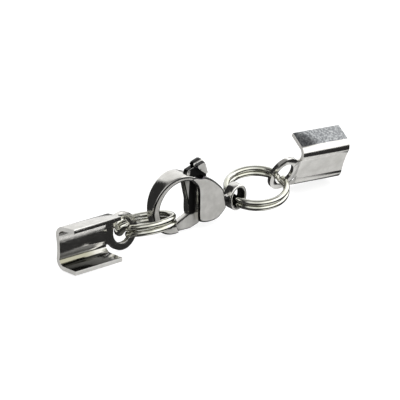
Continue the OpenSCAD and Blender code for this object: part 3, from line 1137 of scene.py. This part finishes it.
@dataclass
class SplitRing:
    """Double ring of round wire."""

    row: Row
    size: RingSizes
    centre: Array
    tree: RingTree
    finish: Steel = Steel("ring_chrome", tone=(0.74, 0.74, 0.69), shade=(0.58, 0.58, 0.5), gloss=0.07,
                          haze=0.06, grain_depth=0.000004)

    def build(self) -> Obj:
        """Sweep the wire, place the ring and dress it."""
        s = self.size
        holder = add_object(f"split_ring_{s.side}_fine", bpy.data.meshes.new("wire"))
        step = holder.modifiers.new("wire", "NODES")
        step.node_group = self.tree.tree
        dress = self.finish.make()
        values = {"Ring diameter": s.outer_d, "Wire diameter": s.wire_d, "Pitch": s.pitch, "Crossing": s.jog,
                  "Run": 720 - s.jog - 4, "Start": s.start, "Tilt": s.tilt, "Rise": s.rise,
                  "Centre": tuple(self.centre - self.row.middle), "Finish": dress}
        for item in self.tree.tree.interface.items_tree:
            if item.in_out == "INPUT":
                step[item.identifier] = values[item.name]
        bake(holder)
        place(holder, lambda points: points, dress)
        return holder


@dataclass
class CordEnd:
    """Folded sheet with two wings and a round eye."""

    row: Row
    size: CordEndSizes
    finish: Steel
    fine_edge: float = 0.06

    def build(self) -> Obj:
        """Fold the channel, add its eye, place the cord end and dress it."""
        s = self.size
        outer, inner = s.side_line(0, 14, 10), s.side_line(s.sheet_t, 14, 10)
        section = np.array(outer + inner[::-1])
        rings = [np.column_stack([np.full(len(section), x), -section[:, 0], section[:, 1]])
                 for x in (0.0, s.channel_len)]
        made = solid_of(f"cord_end_{s.side}_fine", rings)
        combine(made, self.eye(), "UNION")
        ease_edges(made, self.fine_edge)
        self.mark(made.data)
        place(made, self.row.place_end(s), self.finish.make())
        return made

    def mark(self, mesh: bpy.types.Mesh) -> None:
        """Mark the cut edges, the upper wing's outer side and the lower wing's inner side."""
        s = self.size
        middles, normals = read(mesh.polygons, "center"), read(mesh.polygons, "normal")
        x, out, up = middles[:, 0], -middles[:, 1], middles[:, 2]
        side, rise = -normals[:, 1], normals[:, 2]
        end = s.side_line(0, 2, 2)[-1]
        wing, slope = along(s.low_flare + s.flare), along(90 + s.low_flare)
        # Distance past the upper wing's edge, distance over its outer side and share of the base's width
        past = (out - end[0]) * wing[0] + (up - end[1]) * wing[1]
        over = (up - end[1]) * wing[0] - (out - end[0]) * wing[1]
        share = (out * slope[0] + up * slope[1]) / s.channel_w
        # How squarely a face looks out from the upper wing and into the channel
        facing = rise * wing[0] - side * wing[1]
        back = side * slope[1] - rise * slope[0]
        near_end = (x < 0.02) | (np.abs(x - s.channel_len) < 0.02)
        cut = (np.abs(normals[:, 0]) > 0.8) & near_end | (out > s.wing_len - 0.05)
        lip = 0.35 * ((past > -0.08) & (over < 0.05))
        inner = 0.65 * np.clip((share - 0.6) / 0.14, 0, 1) * np.clip((0.84 - share) / 0.1, 0, 1)
        base = (back > 0.95) & (x < s.channel_len)
        satin = np.where(cut | (back < -0.993), 1.0, np.where(base, inner, lip))
        # top, low and hollow say where the painted reflections go
        marks = {"cut": satin, "top": (facing > 0.996) & (over > -0.05) & (over < 0.05),
                 "low": (rise > 0.8) & (up < s.sheet_t + 0.2),
                 "hollow": (rise > 0.1) & (back > 0.1) & (share < 0.3) & (x < s.channel_len)}
        for name, values in marks.items():
            mesh.attributes.new(name, "FLOAT", "FACE").data.foreach_set("value", values.astype(np.float32))
        run = read(mesh.vertices, "co")[:, 0] / s.channel_len
        mesh.attributes.new("run", "FLOAT", "POINT").data.foreach_set("value", run.astype(np.float32))

    def eye(self) -> Obj:
        """Round eye with its neck, bent from the plane of the base."""
        s = self.size
        w = s.channel_w
        neck = np.array([(-0.1, 0.25 * w), (0.5, 0.25 * w), (0.9, 0.4 * w), (0.9, 0.6 * w), (0.5, 0.75 * w),
                         (-0.1, 0.75 * w)])
        made = plate("eye", neck, s.sheet_t, 0)
        combine(made, rod("eye_disc", s.loop_at, s.loop_d / 2, s.sheet_t, 96), "UNION")
        combine(made, rod("eye_hole", s.loop_at, s.loop_hole / 2, s.sheet_t * 3, 72), "DIFFERENCE")
        points = made.data.vertices
        points.foreach_set("co", s.stand_eye(read(points, "co")).ravel())
        side = np.array([[-0.25, 0.27 * w], [0.25, 0.27 * w], [0.25, 0.73 * w], [-0.25, 0.73 * w]])
        stub = solid_of("stub", [
            turned(np.column_stack([side[:, 0], np.full(4, -d), side[:, 1]]), "X", -s.low_flare)
            + [s.channel_len, -s.base_bow * 0.8, 0] for d in (s.sheet_t, 0)])
        combine(made, stub, "UNION")
        return made


# ---- studio

@dataclass(frozen=True)
class Surroundings:
    """What the steel mirrors: a light table below, a dark room at its level and soft boxes above.

    Directions are compass angles from the row's +X towards +Y, heights are degrees above the object.
    """

    room: float = 0.035
    box: float = 1.7
    box_side: float = 1.05
    box_heights: tuple[float, float, float, float] = (-4, 3, 54, 62)
    box_side_way: float = -40
    dark_way: float = 147
    ceiling: float = 0.28
    table: float = 0.85
    table_far: float = 0.06
    table_way: float = -45
    table_heights: tuple[float, float] = (-41, -48)
    radius: float = 1500.0

    def build(self) -> None:
        """Put a dome round the object that only reflections see."""
        maker = bmesh.new()
        bmesh.ops.create_uvsphere(maker, u_segments=48, v_segments=24, radius=self.radius * MM)
        mesh = bpy.data.meshes.new("surroundings")
        maker.to_mesh(mesh)
        maker.free()
        made = add_object("surroundings", mesh)
        mesh.materials.append(material_of("surroundings", lambda s: s.node(
            "ShaderNodeEmission", {"Color": self.light(s), "Strength": 1.0})[0]))
        made.visible_camera = made.visible_diffuse = False
        made.visible_shadow = made.visible_transmission = False

    def light(self, s: Shader) -> Sock:
        """Brightness in each direction."""
        where = s.vector("NORMALIZE", s.place())[0]
        high = s.node("ShaderNodeSeparateXYZ", {0: where})[2]
        level = s.vector("NORMALIZE", s.vector("MULTIPLY", where, (1.0, 1.0, 0.0))[0])[0]

        def way(angle: float) -> Sock:
            """Closeness of the direction to a compass angle."""
            return s.vector("DOT_PRODUCT", level, (*along(angle), 0.0))[1]

        up = [sin(radians(h)) for h in self.box_heights]
        low = [sin(radians(h)) for h in self.table_heights]
        box = high.ramp(up[0], up[1]) * high.ramp(up[3], up[2]) * way(self.dark_way).ramp(0.75, 0.5)
        box = box * (way(self.box_side_way).ramp(0.0, 0.6) * (self.box - self.box_side) + self.box_side)
        table = high.ramp(low[0], low[1]) * (
            way(self.table_way).ramp(0.3, 0.8) * (self.table - self.table_far) + self.table_far)
        return box + table + high.ramp(up[2], up[3]) * self.ceiling + self.room


@dataclass
class Studio:
    """Pale floor, soft light, surroundings for the reflections and the camera."""

    middle: Array
    aim: Triple = (8.426, 5.465, 0.09)
    heading: float = 42.0
    down: float = 20.0
    distance: float = 240.0
    lens: float = 205.2
    glow: float = 0.85
    lamp_at: Triple = (-60, -40, 260)
    lamp_size: tuple[float, float] = (260, 200)
    lamp_power: float = 0.2
    surroundings: Surroundings = Surroundings()

    def build(self) -> None:
        """Set up the world, the floor, the lights and the camera."""
        scene = bpy.context.scene
        scene.view_settings.view_transform = "Standard"
        world = bpy.data.worlds.new("studio")
        scene.world = world
        s = Shader(world)
        glow = s.node("ShaderNodeBackground", {"Color": (1.0, 1.0, 1.0, 1.0), "Strength": 1.0})[0]
        s.node("ShaderNodeOutputWorld", {"Surface": glow})
        world.cycles_visibility.glossy = False
        self.floor()
        self.surroundings.build()
        self.lamp()
        self.camera()

    def floor(self) -> None:
        """Lay a pale floor under the row."""
        side = 3000.0
        made = solid_of("floor", [np.array([(-side, -side, z), (side, -side, z), (side, side, z),
                                            (-side, side, z)]) * MM for z in (-40.0, 0.0)])
        made.data.materials.append(material_of("pale_floor", lambda s: s.node("ShaderNodeBsdfPrincipled", {
            "Base Color": (0.25, 0.25, 0.25, 1.0), "Roughness": 0.9,
            "Emission Color": (1.0, 1.0, 1.0, 1.0), "Emission Strength": self.glow})[0]))
        made.visible_glossy = False

    def lamp(self) -> None:
        """Hang a soft box that lights the floor and stays out of the reflections."""
        data = bpy.data.lights.new("soft_box", "AREA")
        data.shape = "RECTANGLE"
        data.size, data.size_y = (v * MM for v in self.lamp_size)
        data.energy = self.lamp_power
        made = add_object("soft_box", data)
        made.location = Vector(self.lamp_at) * MM
        made.rotation_euler = (-Vector(self.lamp_at)).to_track_quat("-Z", "Y").to_euler()
        made.visible_glossy = False

    def camera(self) -> None:
        """Aim the camera as in the photograph."""
        data = bpy.data.cameras.new("camera")
        data.lens = self.lens
        data.sensor_width = 36.0
        data.clip_start, data.clip_end = 0.01, 20.0
        made = add_object("camera", data)
        side, low = radians(self.heading), radians(self.down)
        forward = Vector((sin(side) * cos(low), cos(side) * cos(low), -sin(low)))
        made.location = (Vector(self.aim) - Vector(self.middle) - forward * self.distance) * MM
        made.rotation_euler = forward.to_track_quat("-Z", "Y").to_euler()
        bpy.context.scene.camera = made


# ---- the whole row

def carry(piece: Obj, body: str, node: str) -> None:
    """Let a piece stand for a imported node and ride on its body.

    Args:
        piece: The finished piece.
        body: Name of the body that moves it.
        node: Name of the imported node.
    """
    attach(piece, body)
    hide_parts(node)
    log.info("%s: %d faces, rides on %s", piece.name, len(piece.data.polygons), body)


def main() -> None:
    """Build the row, dress it and light it."""
    logging.basicConfig(level=logging.INFO, format="%(name)s: %(message)s")
    row = Row()
    carry(ClaspBody(row).build(), "clasp", "clasp_body")
    carry(GateLever(row).build(), "lever", "gate_lever")
    tree = RingTree()
    carry(SplitRing(row, row.left_ring, row.left_centre, tree).build(), "clasp", "split_ring_left")
    carry(SplitRing(row, row.right_ring, row.right_centre, tree).build(), "clasp", "split_ring_right")
    # The left end gets painted dark reflections inside its channel, the right end a painted mottled
    # reflection on its upper wing
    bright = SheetSteel("cord_end_left_steel", gloss=0.13, haze=0.06, channel_reflection=1.0)
    mottled = SheetSteel("cord_end_right_steel", gloss=0.13, haze=0.08, mottled_reflection=1.0)
    carry(CordEnd(row, row.left_end, bright).build(), "clasp", "cord_end_left")
    carry(CordEnd(row, row.right_end, mottled).build(), "clasp", "cord_end_right")
    pin = frame["nodes"]["pivot_pin"]
    pin.data.materials.clear()
    pin.data.materials.append(Steel("pin_steel", gloss=0.15, grain=Grain.ACROSS).make())
    Studio(row.middle).build()
    bpy.context.view_layer.update()


if __name__ == "__main__":
    main()
